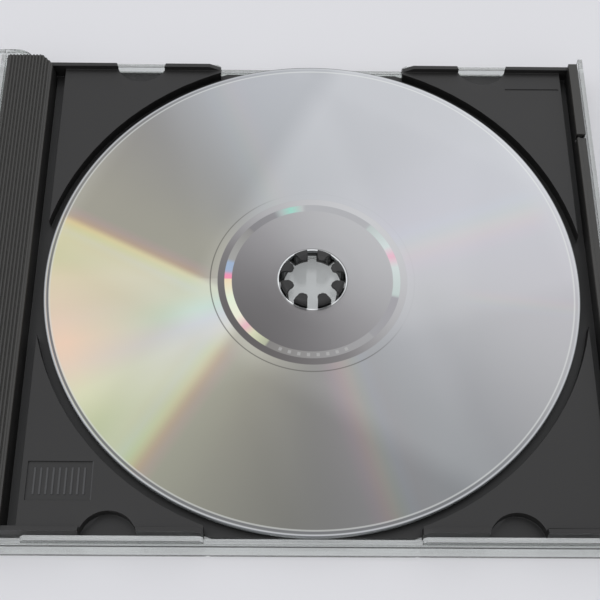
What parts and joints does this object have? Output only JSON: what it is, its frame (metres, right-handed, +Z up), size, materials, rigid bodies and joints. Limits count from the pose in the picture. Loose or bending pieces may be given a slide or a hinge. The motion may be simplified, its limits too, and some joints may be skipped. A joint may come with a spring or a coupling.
{
  "type": "music disc in hinged case",
  "caption": "Silver music disc with its play side up, gripped by a toothed hub in a dark tray inside a clear hinged case that lies open.",
  "frame": {"origin": "on the underside of the case, under the disc's axis", "axes": "+X from the hinge to the opening side of the case, +Y along the hinge axis, +Z up out of the open case"},
  "size_m": [0.2768, 0.125, 0.0086],
  "materials": {
    "disc_mirror": "mirror coat under clear polycarbonate, with faint rainbow bands",
    "tray_plastic": "moulded polystyrene, satin",
    "clear_plastic": "clear moulded polystyrene, polished"
  },
  "bodies": {
    "case_back": {"back_cover": "clear_plastic", "media_tray": "tray_plastic", "disc": "disc_mirror"},
    "lid": {"front_cover": "clear_plastic"}
  },
  "joints": [
    {"name": "lid_hinge", "type": "hinge", "parent": "case_back", "child": "lid", "pos_m": [-0.0721, 0, 0.00505], "axis": [0, 1, 0], "range_deg": [0, 180]}
  ]
}
